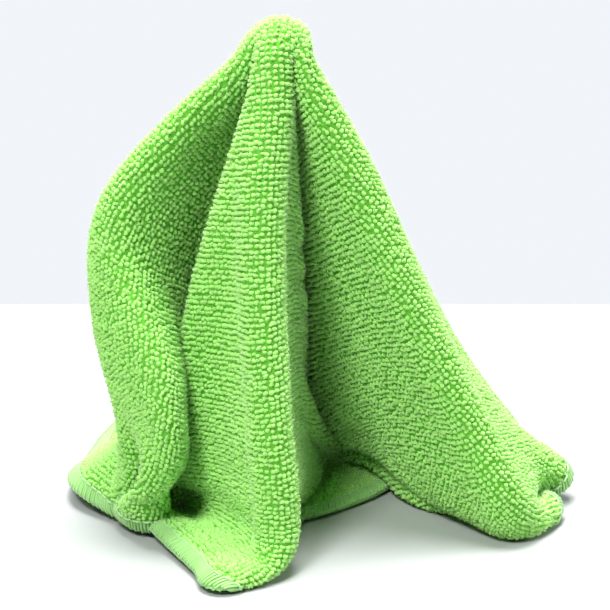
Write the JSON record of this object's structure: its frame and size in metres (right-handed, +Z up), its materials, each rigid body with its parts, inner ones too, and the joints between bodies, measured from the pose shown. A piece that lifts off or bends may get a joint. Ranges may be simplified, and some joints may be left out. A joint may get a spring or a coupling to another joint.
{
  "type": "microfibre cleaning cloth",
  "caption": "Square looped microfibre cleaning cloth with an overlocked edge, pinched at its centre and standing in a folded peak.",
  "frame": {"origin": "centre of the bounding box in plan, at the height of the surface that the cloth stands on", "axes": "+Z up through the peak, -Y towards the front ridge, +X towards the right ridge"},
  "size_m": [0.1734, 0.217, 0.168],
  "materials": {
    "terry": "looped microfibre terry, soft and matte",
    "overlock": "dense overlock thread with a faint sheen",
    "thread": "twisted polyester thread"
  },
  "bodies": {
    "root": {"terry_cloth": "terry", "front_hem": "overlock", "right_hem": "overlock", "back_hem": "overlock", "left_hem": "overlock", "front_stitch": "thread", "right_stitch": "thread", "back_stitch": "thread", "left_stitch": "thread"}
  },
  "joints": []
}
